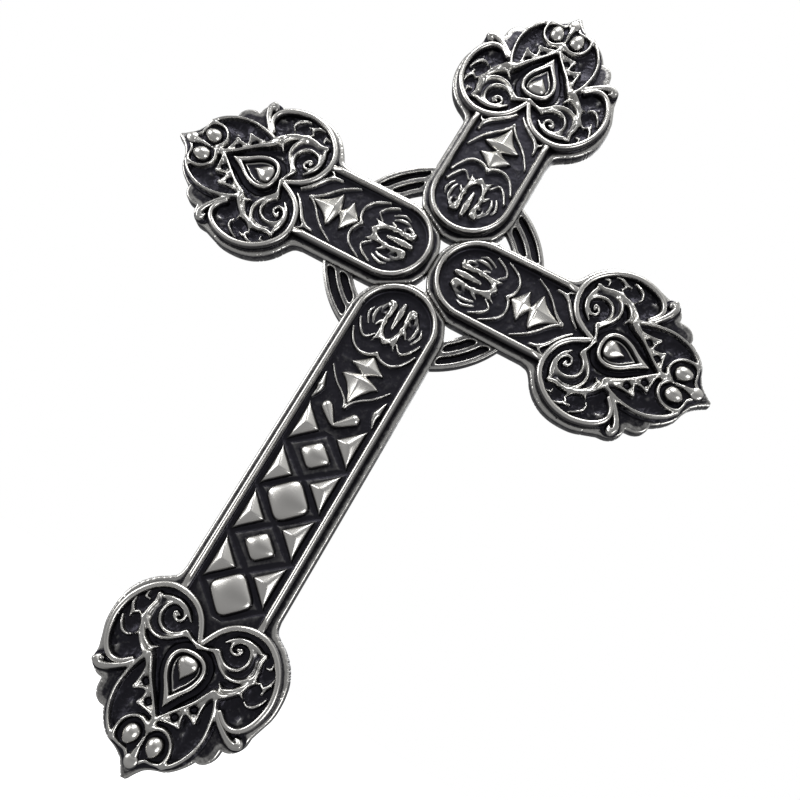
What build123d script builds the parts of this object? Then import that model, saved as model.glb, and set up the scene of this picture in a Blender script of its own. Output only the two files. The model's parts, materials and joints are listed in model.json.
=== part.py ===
"""Processional cross: four hollow cast arms with lobed finials, tied by a ring round the crossing.

Frame: origin at the centre of the staff socket's mouth, +Z up the staff, the front face looks along -Y,
+X to the right as seen by someone facing the front. Millimetres.

Each arm is drawn in its own plane: x is sideways, y runs outwards from the crossing and z is the height
above the flat back of the cross. The four finials are the same casting, set at three different reaches.
"""

import os
from math import asin, atan2, cos, degrees, pi, radians, sin

from build123d import *

# ------------------------------------------------------------------ driving dimensions
CROSSING_Z = 190.0  # height of the crossing above the mouth of the staff socket
BACK_Y = -16.5  # the flat back of the cross, in front of the staff's axis

SIDE_REACH = 150.0  # crossing to the tip of a side arm
TOP_REACH = 165.0
FOOT_REACH = 274.2
ARM_HALF_WIDTH = 24.8  # flange of the straight part of an arm
SIDE_CAP_CENTRE = 24.2  # crossing to the centre of a side arm's round inner end
UPRIGHT_CAP_CENTRE = 39.8  # the same for the top arm and the foot

FLANGE_HEIGHT = 8.4  # top of the flange, the step that runs all round the outline
CASE_DECK = 1.6  # front skin of the hollow case
BACK_PLATE = 1.6
PLATE_HALF_WIDTH = 21.5
PLATE_LOBE = 36.0  # radius of the back plate behind the finial
LOBE_CENTRE = 98.0
LEDGE = 1.8  # the back plate rests on this step of the case

PANEL_HALF_WIDTH = 21.2  # raised panel of an arm
PANEL_HEIGHT = 9.8
PANEL_END = 78.0  # the panel runs up to here, under the finial's relief
PANEL_RIB_HEIGHT = 12.2
ARM_RIM_WIDTH = 2.4
ARM_RIM_HEIGHT = 14.2
ARM_RIM_ROUND = 1.0

RELIEF_HEIGHT = 9.6  # ground of the finial's relief
RIB_WIDTH = 1.5
RIB_HEIGHT = 12.6
HEART_RIM_WIDTH = 2.2
HEART_RIM_HEIGHT = 13.0
NODE_HEIGHT = 16.2  # the highest point of the cross, where the V rib meets the leaves
NODE_PLACE = (18.0, 100.5)
NODE_RADIUS = 2.2
BEZEL_WIDTH = 1.9
BEZEL_HEIGHT = 12.4
BOSS_HEIGHT = 13.6
BOSS_INSET = 3.5  # from the bezel's outer edge to the foot of the drop
BOSS_CROWN_INSET = 2.8
PEARL_HEIGHT = 14.0
TIP_PEARL_HEIGHT = 11.8

RING_RADIUS = 55.0
RING_WIDTH = 14.5
RING_HEIGHT = 6.3
RING_RAIL = 2.5
GROOVE_WIDTH = 3.5
GROOVE_DEPTH = 4.0

STAFF_RADIUS = 12.7  # a 1 inch staff
SOCKET_BORE = STAFF_RADIUS + 0.2
SOCKET_RADIUS = 15.0
SOCKET_DEPTH = 90.0
SOCKET_TOP = 95.0
SOCKET_TOP_ROUND = 4.0
SOCKET_COLLAR_RADIUS = 16.2
SOCKET_COLLAR_LENGTH = 8.0
SADDLE_WIDTH = 44.0
SADDLE_LENGTH = 76.0
SADDLE_THICKNESS = 2.5
SADDLE_CENTRE_Z = 48.0
SADDLE_WEB = 20.0
SET_SCREW_Z = 22.0

SET_SCREW_RADIUS = 3.0
SET_SCREW_BOSS_RADIUS = 6.0
SET_SCREW_BOSS_Y = 19.0

LOZENGE_FIRST = 113.5  # crossing to the first lozenge stud of the foot
LOZENGE_PITCH = 24.2
LARGE_LOZENGE = (10.2, 9.7)  # half width and half length
SMALL_LOZENGE = (7.5, 6.3)
HALF_LOZENGE_BASE_X = 15.7
HALF_LOZENGE_APEX_X = 4.0
HALF_LOZENGE_LENGTH = 10.4
STUD_HEIGHT = 3.7  # above the arm's panel
DROP_HEAD = (8.6, 90.8, 2.7)  # sideways, outwards and radius of a drop's round end
DROP_POINT = (2.2, 96.6, 0.8)

SCREW_RADIUS = 1.5
SCREW_CLEARANCE = 0.1
SCREW_HEAD_RADIUS = 2.9
SCREW_END_GAP = 0.4  # between a screw's end and the bottom of its hole
SCREW_SLOT = (0.8, 0.7)  # width and depth
POST_RADIUS = 3.6
SOCKET_SCREW_RADIUS = 2.0
SOCKET_SCREW_HEAD_RADIUS = 3.4
SOCKET_SCREW_HEAD = 2.4
SOCKET_SCREW_SLOT = (1.0, 1.2)
SOCKET_SCREW_X = 18.0
SOCKET_SCREW_PITCH = 62.0

FINIAL_SCREWS = [(0, 126), (-28, 92), (28, 92)]  # drawn for a reach of 150
FOOT_SCREWS = [(-14, 62), (14, 62)]
CAP_SCREW_INSET = 8.0

FINIAL_FROM_TIP = 150.0  # the finial is drawn for a reach of 150
STANDING = (Align.CENTER, Align.CENTER, Align.MIN)
ARM_TURNS = {"top": 0, "left": 90, "foot": 180, "right": 270}
ARM_REACH = {"top": TOP_REACH, "left": SIDE_REACH, "foot": FOOT_REACH, "right": SIDE_REACH}

# centre lines of the ribs, right half, drawn for a reach of 150: (sideways, outwards)
HEART_RIM_LINE = [
    (0, 84.8), (6, 76.8), (13, 72), (20, 70.5), (29, 73.4), (36, 80.5), (39.2, 93), (31, 111),
]
V_RIB_LINE = [(17.5, 100.5), (13, 108), (7, 115.5), (0, 124.5)]
LEAF_RIB_LINE = [(18.5, 101), (21.8, 113), (21.2, 125), (13.2, 135.5)]
CUP_RIB_LINE = [(12.7, 134), (10.8, 127), (5.5, 124), (0, 126.3)]
SCROLL_LINE = [(0, 88.0), (8, 86.2), (15, 91.8), (22, 92), (27.2, 86), (24, 77.8)]
SPIRAL_LINE = [(9.5, 86), (16, 88.8), (22, 83.5), (17, 76.6), (12.4, 81), (16.5, 82)]
# pearls at the tip: sideways, outwards, radius, top
PEARLS = [
    (-5.7, 132.3, 3.4, PEARL_HEIGHT),
    (5.7, 132.3, 3.4, PEARL_HEIGHT),
    (0, 142, 2.5, TIP_PEARL_HEIGHT),
]
# outlines of the two blades of the fleur boss, drawn for a side arm
FLEUR_BLADES = [
    [(0, 66.5), (3.2, 59.5), (9, 55.2), (0, 53.8), (-9, 55.2), (-3.2, 59.5)],
    [(0, 43.6), (2.6, 46.6), (8, 49.3), (0, 51.8), (-8, 49.3), (-2.6, 46.6)],
]
# centre lines of the arm panel's ribs, drawn for a side arm
CHEVRON_LINE = [(0, 70), (4, 65), (9, 60.5), (13, 56), (16.5, 51)]
DOUBLE_ARCH_LINE = [(0, 41), (3, 42.7), (8, 43.3), (13, 40), (16.5, 34)]
POINTED_ARCH_LINE = [(0, 33.5), (4, 30), (5.5, 24), (5, 17)]

os.makedirs("parts", exist_ok=True)


# ------------------------------------------------------------------ placing and measuring
def arm_plane(turn, height=0.0):
    """The plane of an arm at a height above the back: x sideways, y outwards, z to the front."""
    outwards = Vector(-sin(radians(turn)), 0, cos(radians(turn)))
    sideways = Vector(cos(radians(turn)), 0, sin(radians(turn)))
    return Plane(origin=(0, BACK_Y - height, CROSSING_Z), x_dir=sideways, z_dir=sideways.cross(outwards))


def shift_of(arm):
    """How much further out this arm's finial lies than the one that is drawn."""
    return ARM_REACH[arm] - FINIAL_FROM_TIP


def cap_centre(arm):
    return SIDE_CAP_CENTRE if arm in ("left", "right") else UPRIGHT_CAP_CENTRE


def outward(points, shift):
    """Points of the finial, moved out along the arm."""
    return [(x, y + shift) for x, y in points]


def save(part, node):
    part.label = node
    export_step(part, f"parts/{node}.step")


# ------------------------------------------------------------------ outlines
def arm_outline(arm):
    """The flange: pointed tip, three lobes a side, neck, straight arm and round inner end."""
    shift = shift_of(arm)
    centre = cap_centre(arm)
    half = ARM_HALF_WIDTH
    with BuildLine() as right:
        tip = Spline(*outward([(0, 149.8), (4, 144.5), (10, 140.3), (17, 137.2), (23.5, 129)], shift))
        small = ThreePointArc(tip @ 1, (29.2, 127 + shift), (30.9, 119.7 + shift))
        middle = ThreePointArc(small @ 1, (37.3, 117.4 + shift), (39.3, 109.5 + shift))
        large = Spline(
            middle @ 1,
            *outward([(43.5, 95), (40.8, 79.5), (33, 70.8), (26.6, 66.2), (half, 60)], shift),
            tangents=((0.4, -1), (0, -1)),
        )
        side = Line(large @ 1, (half, centre))
        ThreePointArc(side @ 1, (half * cos(pi / 4), centre - half * sin(pi / 4)), (0, centre - half))
        mirror(about=Plane.YZ)
    make_face(right.edges())


def trim_cap(arm):
    """Cuts the round inner end flat where it meets the neighbouring arms."""
    own = cap_centre(arm)
    other = UPRIGHT_CAP_CENTRE if own == SIDE_CAP_CENTRE else SIDE_CAP_CENTRE
    for side in (-1, 1):
        with Locations(Location((side * other / 2, own / 2), degrees(atan2(-own, side * other)))):
            Rectangle(ARM_HALF_WIDTH, 3 * ARM_HALF_WIDTH, align=(Align.MIN, Align.CENTER), mode=Mode.SUBTRACT)
    if own == SIDE_CAP_CENTRE:
        Rectangle(3 * ARM_HALF_WIDTH, ARM_HALF_WIDTH, align=(Align.CENTER, Align.MAX), mode=Mode.SUBTRACT)


def back_outline(arm, half, lobe_radius):
    """The plain outline of the back plate and of the hollow behind the relief."""
    centre = cap_centre(arm)
    lobe = LOBE_CENTRE + shift_of(arm)
    with Locations((0, centre)):
        Circle(half)
        Rectangle(2 * half, lobe - centre, align=(Align.CENTER, Align.MIN))
    with Locations((0, lobe)):
        Circle(lobe_radius)


def panel_outline(arm, inset=0.0, mode=Mode.ADD):
    """The arm's raised panel, from its round inner end up to the finial's relief."""
    half = PANEL_HALF_WIDTH - inset
    centre = cap_centre(arm)
    end = PANEL_END + shift_of(arm)
    with Locations((0, centre)):
        Circle(half, mode=mode)
        Rectangle(2 * half, end - centre, align=(Align.CENTER, Align.MIN), mode=mode)


def relief_outline(shift):
    """The finial's raised relief: pointed crown over two round lobes that meet in a cusp."""
    with BuildLine() as right:
        crown = Spline(*outward([(0, 145.5), (8, 139.0), (17, 134.8), (21.5, 127), (24, 116)], shift))
        roll = ThreePointArc(crown @ 1, (33, 117.6 + shift), (38.2, 110 + shift))
        Spline(
            roll @ 1,
            *outward([(41, 95), (38.6, 81.5), (31, 73), (20, 69), (8, 73.4), (0, 82)], shift),
        )
        mirror(about=Plane.YZ)
    make_face(right.edges())


def rib(points, shift, width):
    """A raised rib along a smooth line, and its mirror image."""
    for side in (-1, 1):
        with BuildLine() as line:
            Spline(*[(side * x, y) for x, y in outward(points, shift)])
        trace(line.line, line_width=width)


def teardrop_outline(shift, widen=0.0):
    """A drop with its point outwards."""
    with BuildLine() as right:
        Spline(
            (0, 116 + widen + shift),
            (5.6 + widen * 0.7, 107.2 + shift),
            (8.8 + widen, 98.6 + shift),
            (0, 90.2 - widen + shift),
            tangents=((0.5, -1), (-1, 0)),
        )
        mirror(about=Plane.YZ)
    make_face(right.edges())


# ------------------------------------------------------------------ screws
def screw_places(arm):
    """Where the back plate is screwed to its case, in the arm's plane."""
    shift = shift_of(arm)
    places = outward(FINIAL_SCREWS, shift) + [(0, cap_centre(arm) - CAP_SCREW_INSET)]
    if arm == "foot":
        places += FOOT_SCREWS
    return places


def socket_screw_places():
    """The socket's fixing screws, in the foot arm's plane."""
    middle = CROSSING_Z - SADDLE_CENTRE_Z
    return [
        (x, middle + y)
        for x in (-SOCKET_SCREW_X, SOCKET_SCREW_X)
        for y in (-SOCKET_SCREW_PITCH / 2, SOCKET_SCREW_PITCH / 2)
    ]


# ------------------------------------------------------------------ one arm's castings
def make_case(arm):
    turn = ARM_TURNS[arm]
    with BuildPart() as case:
        with BuildSketch(arm_plane(turn)):
            arm_outline(arm)
            trim_cap(arm)
        extrude(amount=FLANGE_HEIGHT)
        with BuildSketch(arm_plane(turn)):
            back_outline(arm, PLATE_HALF_WIDTH, PLATE_LOBE)
        extrude(amount=BACK_PLATE, mode=Mode.SUBTRACT)
        with BuildSketch(arm_plane(turn, BACK_PLATE)):
            back_outline(arm, PLATE_HALF_WIDTH - LEDGE, PLATE_LOBE - LEDGE)
        extrude(amount=FLANGE_HEIGHT - CASE_DECK - BACK_PLATE, mode=Mode.SUBTRACT)
        posts = screw_places(arm)
        bores = [(x, y, SCREW_RADIUS) for x, y in posts]
        if arm == "foot":
            posts = posts + socket_screw_places()
            bores += [(x, y, SOCKET_SCREW_RADIUS) for x, y in socket_screw_places()]
        with BuildSketch(arm_plane(turn, BACK_PLATE)):
            with Locations(*posts):
                Circle(POST_RADIUS)
        extrude(amount=FLANGE_HEIGHT - CASE_DECK - BACK_PLATE)
        with BuildSketch(arm_plane(turn, BACK_PLATE)):
            for x, y, radius in bores:
                with Locations((x, y)):
                    Circle(radius + SCREW_CLEARANCE)
        extrude(amount=FLANGE_HEIGHT - CASE_DECK - BACK_PLATE, mode=Mode.SUBTRACT)
    save(case.part, f"case_{arm}")


def make_back_plate(arm):
    turn = ARM_TURNS[arm]
    with BuildPart() as back_plate:
        with BuildSketch(arm_plane(turn)):
            back_outline(arm, PLATE_HALF_WIDTH, PLATE_LOBE)
        extrude(amount=BACK_PLATE)
        for x, y in screw_places(arm):
            with Locations(Plane(arm_plane(turn).from_local_coords(Vector(x, y, 0)), z_dir=(0, 1, 0))):
                CounterSinkHole(SCREW_RADIUS + SCREW_CLEARANCE, SCREW_HEAD_RADIUS + SCREW_CLEARANCE)
        if arm == "foot":
            with BuildSketch(arm_plane(turn)):
                with Locations(*socket_screw_places()):
                    Circle(SOCKET_SCREW_RADIUS + SCREW_CLEARANCE)
            extrude(amount=BACK_PLATE, mode=Mode.SUBTRACT)
    save(back_plate.part, f"back_plate_{arm}")


def make_back_screws(arm):
    length = FLANGE_HEIGHT - CASE_DECK - SCREW_END_GAP
    head = SCREW_HEAD_RADIUS - SCREW_RADIUS
    with BuildPart() as back_screws:
        for x, y in screw_places(arm):
            with BuildSketch(arm_plane(ARM_TURNS[arm])):
                with Locations((x, y)):
                    Circle(SCREW_HEAD_RADIUS)
            extrude(amount=head, taper=45)
            with BuildSketch(arm_plane(ARM_TURNS[arm])):
                with Locations((x, y)):
                    Circle(SCREW_RADIUS)
            extrude(amount=length)
            with BuildSketch(arm_plane(ARM_TURNS[arm])):
                with Locations((x, y)):
                    Rectangle(2 * SCREW_HEAD_RADIUS, SCREW_SLOT[0])
            extrude(amount=SCREW_SLOT[1], mode=Mode.SUBTRACT)
    save(back_screws.part, f"back_screws_{arm}")


def make_finial_relief(arm):
    turn, shift = ARM_TURNS[arm], shift_of(arm)
    with BuildPart() as finial_relief:
        with BuildSketch(arm_plane(turn, FLANGE_HEIGHT)):
            relief_outline(shift)
        extrude(amount=RELIEF_HEIGHT - FLANGE_HEIGHT)
        with BuildSketch(arm_plane(turn, RELIEF_HEIGHT)):
            for line in (V_RIB_LINE, LEAF_RIB_LINE, CUP_RIB_LINE, SCROLL_LINE, SPIRAL_LINE):
                rib(line, shift, RIB_WIDTH)
        extrude(amount=RIB_HEIGHT - RELIEF_HEIGHT)
        for side in (-1, 1):
            with BuildSketch(arm_plane(turn, RELIEF_HEIGHT)):
                with Locations((side * NODE_PLACE[0], NODE_PLACE[1] + shift)):
                    Circle(NODE_RADIUS)
            extrude(amount=NODE_HEIGHT - RELIEF_HEIGHT, taper=9)
    save(finial_relief.part, f"finial_relief_{arm}")


def make_arm_relief(arm):
    shift = cap_centre(arm) - SIDE_CAP_CENTRE
    with BuildPart() as arm_relief:
        with BuildSketch(arm_plane(ARM_TURNS[arm], FLANGE_HEIGHT)):
            panel_outline(arm)
            with BuildSketch(mode=Mode.SUBTRACT):
                relief_outline(shift_of(arm))
        extrude(amount=PANEL_HEIGHT - FLANGE_HEIGHT)
        with BuildSketch(arm_plane(ARM_TURNS[arm], PANEL_HEIGHT)):
            for line in (CHEVRON_LINE, DOUBLE_ARCH_LINE, POINTED_ARCH_LINE):
                rib(line, shift, RIB_WIDTH)
        extrude(amount=PANEL_RIB_HEIGHT - PANEL_HEIGHT)
    save(arm_relief.part, f"arm_relief_{arm}")


def make_arm_rim(arm):
    with BuildPart() as arm_rim:
        with BuildSketch(arm_plane(ARM_TURNS[arm], PANEL_HEIGHT)):
            panel_outline(arm)
            panel_outline(arm, inset=ARM_RIM_WIDTH, mode=Mode.SUBTRACT)
        extrude(amount=ARM_RIM_HEIGHT - PANEL_HEIGHT)
        fillet(arm_rim.edges().group_by(Axis.Y)[0], ARM_RIM_ROUND)
        with BuildSketch(arm_plane(ARM_TURNS[arm], PANEL_HEIGHT)):
            relief_outline(shift_of(arm))
        extrude(amount=ARM_RIM_HEIGHT, mode=Mode.SUBTRACT)
    save(arm_rim.part, f"arm_rim_{arm}")


def make_heart_rim(arm):
    with BuildPart() as heart_rim:
        with BuildSketch(arm_plane(ARM_TURNS[arm], RELIEF_HEIGHT)):
            rib(HEART_RIM_LINE, shift_of(arm), HEART_RIM_WIDTH)
        extrude(amount=HEART_RIM_HEIGHT - RELIEF_HEIGHT)
    save(heart_rim.part, f"heart_rim_{arm}")


def make_teardrop(arm):
    turn, shift = ARM_TURNS[arm], shift_of(arm)
    with BuildPart() as teardrop_bezel:
        with BuildSketch(arm_plane(turn, RELIEF_HEIGHT)):
            teardrop_outline(shift)
            with BuildSketch(mode=Mode.SUBTRACT):
                teardrop_outline(shift, widen=-BEZEL_WIDTH)
        extrude(amount=BEZEL_HEIGHT - RELIEF_HEIGHT)
    save(teardrop_bezel.part, f"teardrop_bezel_{arm}")
    with BuildPart() as teardrop_boss:
        with BuildSketch(arm_plane(turn, RELIEF_HEIGHT)):
            teardrop_outline(shift, widen=-BOSS_INSET)
        with BuildSketch(arm_plane(turn, BOSS_HEIGHT)):
            teardrop_outline(shift, widen=-BOSS_INSET - BOSS_CROWN_INSET)
        loft()
    save(teardrop_boss.part, f"teardrop_boss_{arm}")


def make_pearls(arm):
    turn, shift = ARM_TURNS[arm], shift_of(arm)
    with BuildPart() as pearls:
        for x, y, radius, top in PEARLS:
            with Locations(arm_plane(turn, top - radius)):
                with Locations((x, y + shift, 0)):
                    Sphere(radius)
            with BuildSketch(arm_plane(turn, RELIEF_HEIGHT)):
                with Locations((x, y + shift)):
                    Circle(radius)
            extrude(amount=top - radius - RELIEF_HEIGHT)
        split(bisect_by=arm_plane(turn, RELIEF_HEIGHT), keep=Keep.TOP)
    save(pearls.part, f"pearls_{arm}")


def make_fleur_boss(arm):
    shift = cap_centre(arm) - SIDE_CAP_CENTRE
    with BuildPart() as fleur_boss:
        with BuildSketch(arm_plane(ARM_TURNS[arm], PANEL_HEIGHT)):
            for blade in FLEUR_BLADES:
                with BuildLine():
                    Polyline(*outward(blade, shift), close=True)
                make_face()
            with Locations((0, 52.8 + shift)):
                Rectangle(2.4, 4)
        extrude(amount=STUD_HEIGHT, taper=14)
    save(fleur_boss.part, f"fleur_boss_{arm}")


# ------------------------------------------------------------------ studs of the foot arm
def lozenge(half_width, half_length):
    Polygon((half_width, 0), (0, half_length), (-half_width, 0), (0, -half_length), align=None)


def make_lozenges(node, places, size, taper):
    with BuildPart() as lozenges:
        with BuildSketch(arm_plane(ARM_TURNS["foot"], PANEL_HEIGHT)):
            with Locations(*[(0, y) for y in places]):
                lozenge(*size)
        extrude(amount=STUD_HEIGHT, taper=taper)
    save(lozenges.part, node)


def make_half_lozenges(places):
    with BuildPart() as half_lozenges:
        with BuildSketch(arm_plane(ARM_TURNS["foot"], PANEL_HEIGHT)):
            for y in places:
                for side in (-1, 1):
                    base, apex = side * HALF_LOZENGE_BASE_X, side * HALF_LOZENGE_APEX_X
                    inner, outer = y - HALF_LOZENGE_LENGTH, y + HALF_LOZENGE_LENGTH
                    Polygon((base, inner), (base, outer), (apex, y), align=None)
        extrude(amount=STUD_HEIGHT - 0.4, taper=28)
    save(half_lozenges.part, "half_lozenge_studs")


def make_drop_studs():
    with BuildPart() as drop_studs:
        with BuildSketch(arm_plane(ARM_TURNS["foot"], PANEL_HEIGHT)):
            for side in (-1, 1):
                with BuildSketch():
                    for x, y, radius in (DROP_HEAD, DROP_POINT):
                        with Locations((side * x, y)):
                            Circle(radius)
                    make_hull()
        extrude(amount=STUD_HEIGHT - 1, taper=20)
    save(drop_studs.part, "drop_studs")


# ------------------------------------------------------------------ ring round the crossing
def make_ring_quadrant(node, side_x, side_y):
    outer_groove = RING_RADIUS - RING_RAIL - GROOVE_WIDTH / 2
    grooves = [outer_groove, outer_groove - RING_RAIL - GROOVE_WIDTH]
    across = Align.MIN if side_x > 0 else Align.MAX
    upwards = Align.MIN if side_y > 0 else Align.MAX
    with BuildPart() as quadrant:
        with BuildSketch(arm_plane(0)):
            Circle(RING_RADIUS)
            Circle(RING_RADIUS - RING_WIDTH, mode=Mode.SUBTRACT)
            with Locations((side_x * ARM_HALF_WIDTH, side_y * ARM_HALF_WIDTH)):
                Rectangle(RING_RADIUS, RING_RADIUS, align=(across, upwards), mode=Mode.INTERSECT)
        extrude(amount=RING_HEIGHT)
        with BuildSketch(arm_plane(0, RING_HEIGHT - GROOVE_DEPTH)):
            for radius in grooves:
                start = degrees(asin((ARM_HALF_WIDTH + 1 + GROOVE_WIDTH / 2) / radius))
                first = start + degrees(atan2(side_y, side_x)) - 45
                SlotArc(CenterArc((0, 0), radius, first, 90 - 2 * start), GROOVE_WIDTH)
        extrude(amount=GROOVE_DEPTH, mode=Mode.SUBTRACT)
    save(quadrant.part, node)


# ------------------------------------------------------------------ staff socket
def make_staff_socket():
    with BuildPart() as staff_socket:
        Cylinder(SOCKET_RADIUS, SOCKET_TOP, align=STANDING)
        fillet(staff_socket.edges().group_by(Axis.Z)[-1], SOCKET_TOP_ROUND)
        Cylinder(SOCKET_COLLAR_RADIUS, SOCKET_COLLAR_LENGTH, align=STANDING)
        with Locations((0, BACK_Y, SADDLE_CENTRE_Z)):
            Box(SADDLE_WIDTH, SADDLE_THICKNESS, SADDLE_LENGTH, align=(Align.CENTER, Align.MIN, Align.CENTER))
            Box(SADDLE_WEB, -BACK_Y, SADDLE_LENGTH, align=(Align.CENTER, Align.MIN, Align.CENTER))
        with Locations(Location((0, 0, SET_SCREW_Z), (-90, 0, 0))):
            Cylinder(SET_SCREW_BOSS_RADIUS, SET_SCREW_BOSS_Y, align=STANDING)
            hole = SET_SCREW_RADIUS + SCREW_CLEARANCE
            Cylinder(hole, SET_SCREW_BOSS_Y, align=STANDING, mode=Mode.SUBTRACT)
        Cylinder(SOCKET_BORE, SOCKET_DEPTH, align=STANDING, mode=Mode.SUBTRACT)
        with BuildSketch(arm_plane(180, -SADDLE_THICKNESS)):
            with Locations(*socket_screw_places()):
                Circle(SOCKET_SCREW_RADIUS + SCREW_CLEARANCE)
        extrude(amount=SADDLE_THICKNESS, mode=Mode.SUBTRACT)
    save(staff_socket.part, "staff_socket")


def make_socket_screws():
    length = SADDLE_THICKNESS + FLANGE_HEIGHT - CASE_DECK - SCREW_END_GAP
    with BuildPart() as socket_screws:
        with BuildSketch(arm_plane(180, -SADDLE_THICKNESS)):
            with Locations(*socket_screw_places()):
                Circle(SOCKET_SCREW_RADIUS)
        extrude(amount=length)
        with BuildSketch(arm_plane(180, -SADDLE_THICKNESS)):
            with Locations(*socket_screw_places()):
                Circle(SOCKET_SCREW_HEAD_RADIUS)
        extrude(amount=-SOCKET_SCREW_HEAD, taper=18)
        with BuildSketch(arm_plane(180, -SADDLE_THICKNESS - SOCKET_SCREW_HEAD)):
            with Locations(*socket_screw_places()):
                Rectangle(2 * SOCKET_SCREW_HEAD_RADIUS, SOCKET_SCREW_SLOT[0])
        extrude(amount=SOCKET_SCREW_SLOT[1], mode=Mode.SUBTRACT)
    save(socket_screws.part, "socket_screws")


def make_set_screw():
    length = SET_SCREW_BOSS_Y - SOCKET_BORE - 0.8
    with BuildPart() as set_screw:
        with Locations(Location((0, SET_SCREW_BOSS_Y - length, SET_SCREW_Z), (-90, 0, 0))):
            Cylinder(SET_SCREW_RADIUS, length, align=STANDING)
        with Locations((0, SET_SCREW_BOSS_Y, SET_SCREW_Z)):
            Box(1.1, 2.8, 2 * SET_SCREW_RADIUS, mode=Mode.SUBTRACT)
        chamfer(set_screw.faces().sort_by(Axis.Y)[0].edges(), 0.8)
    save(set_screw.part, "staff_set_screw")


for arm_name in ARM_TURNS:
    make_case(arm_name)
    make_back_plate(arm_name)
    make_back_screws(arm_name)
    make_finial_relief(arm_name)
    make_arm_relief(arm_name)
    make_arm_rim(arm_name)
    make_heart_rim(arm_name)
    make_teardrop(arm_name)
    make_pearls(arm_name)
    make_fleur_boss(arm_name)

lozenge_places = [LOZENGE_FIRST + i * LOZENGE_PITCH for i in range(4)]
make_lozenges("small_lozenge_studs", lozenge_places[0::2], SMALL_LOZENGE, 32)
make_lozenges("large_lozenge_studs", lozenge_places[1::2], LARGE_LOZENGE, 45)
make_half_lozenges([place - LOZENGE_PITCH / 2 + 0.9 for place in lozenge_places])
make_drop_studs()

make_ring_quadrant("ring_upper_right", 1, 1)
make_ring_quadrant("ring_upper_left", -1, 1)
make_ring_quadrant("ring_lower_left", -1, -1)
make_ring_quadrant("ring_lower_right", 1, -1)

make_staff_socket()
make_socket_screws()
make_set_screw()
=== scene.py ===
"""Processional cross in oxidised silver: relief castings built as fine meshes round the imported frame."""

import json
from math import cos, pi, radians, sin

import bpy
import numpy as np
from mathutils import Matrix, Vector

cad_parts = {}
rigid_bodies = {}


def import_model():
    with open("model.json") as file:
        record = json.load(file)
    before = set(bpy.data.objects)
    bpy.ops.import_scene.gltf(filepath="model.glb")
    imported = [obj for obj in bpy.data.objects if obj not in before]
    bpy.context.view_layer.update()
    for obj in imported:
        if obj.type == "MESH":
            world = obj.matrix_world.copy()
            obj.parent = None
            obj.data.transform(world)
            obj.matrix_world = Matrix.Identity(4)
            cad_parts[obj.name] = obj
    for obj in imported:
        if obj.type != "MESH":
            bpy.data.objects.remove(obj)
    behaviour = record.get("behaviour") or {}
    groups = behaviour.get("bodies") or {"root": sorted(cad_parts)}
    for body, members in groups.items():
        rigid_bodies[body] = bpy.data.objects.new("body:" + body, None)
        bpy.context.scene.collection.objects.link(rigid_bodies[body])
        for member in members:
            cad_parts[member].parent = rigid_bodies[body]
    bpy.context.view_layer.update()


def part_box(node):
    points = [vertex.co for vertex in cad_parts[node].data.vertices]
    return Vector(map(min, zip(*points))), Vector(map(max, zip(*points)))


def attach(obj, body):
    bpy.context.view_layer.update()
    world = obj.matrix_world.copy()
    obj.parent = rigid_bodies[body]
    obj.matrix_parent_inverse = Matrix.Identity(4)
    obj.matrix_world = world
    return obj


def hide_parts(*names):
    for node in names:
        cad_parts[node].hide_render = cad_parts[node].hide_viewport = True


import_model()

MM = 0.001
BODY = "root"

# ------------------------------------------------------------------ places, from the frame
def mm_box(node):
    """A node's lowest and highest corners in millimetres."""
    low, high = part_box(node)
    return np.array(low) / MM, np.array(high) / MM


right_low, right_high = mm_box("case_right")
top_high = mm_box("case_top")[1]
foot_low = mm_box("case_foot")[0]
CROSSING_Z = (right_low[2] + right_high[2]) / 2
BACK_Y = right_high[1]
FLANGE_TOP = right_high[1] - right_low[1]
RING_TOP = BACK_Y - mm_box("ring_upper_right")[0][1]
REACH = {
    "top": top_high[2] - CROSSING_Z,
    "left": right_high[0],
    "foot": CROSSING_Z - foot_low[2],
    "right": right_high[0],
}
TURN = {"top": 0, "left": 90, "foot": 180, "right": 270}
DRAWN_REACH = REACH["right"]

ARM_HALF = 24.8
SIDE_CAP = 24.2
UPRIGHT_CAP = 39.8
PANEL_HALF = 21.3
RIM_HALF = 19.9  # the polished bead's line
PANEL_GROUND = 9.8
RELIEF_GROUND = 9.3
ARM_RIM_TOP = 14.2
HEART_RIM_TOP = 13.1
CASE_BACK = 0.35  # the case's back, so the back plate stands just proud of it
RING_RADIUS = 55.0
RING_WIDTH = 14.5
RING_RAIL = 2.5
GROOVE_HALF = 1.75
ARM_BEAD_HALF = 1.55
# Where things end on the arm that is drawn, outwards from the crossing.
FINIAL_START = 62  # the arm's straight sides
ARM_BEAD_END = 70.6
PANEL_END = 74


def cap_of(arm):
    return SIDE_CAP if arm in ("left", "right") else UPRIGHT_CAP


def shift_of(arm):
    """How much further out this arm's finial lies than the one that is drawn."""
    return REACH[arm] - DRAWN_REACH


def arm_matrix(turn, outward=0.0):
    """From an arm's own axes (sideways, outwards, height above the back) to the row frame."""
    t = radians(turn)
    side = Vector((cos(t), 0, sin(t)))
    out = Vector((-sin(t), 0, cos(t)))
    front = Vector((0, -1, 0))
    at = Vector((0, BACK_Y, CROSSING_Z)) * MM + out * outward * MM
    return Matrix.Translation(at) @ Matrix((side, out, front)).transposed().to_4x4()


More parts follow.
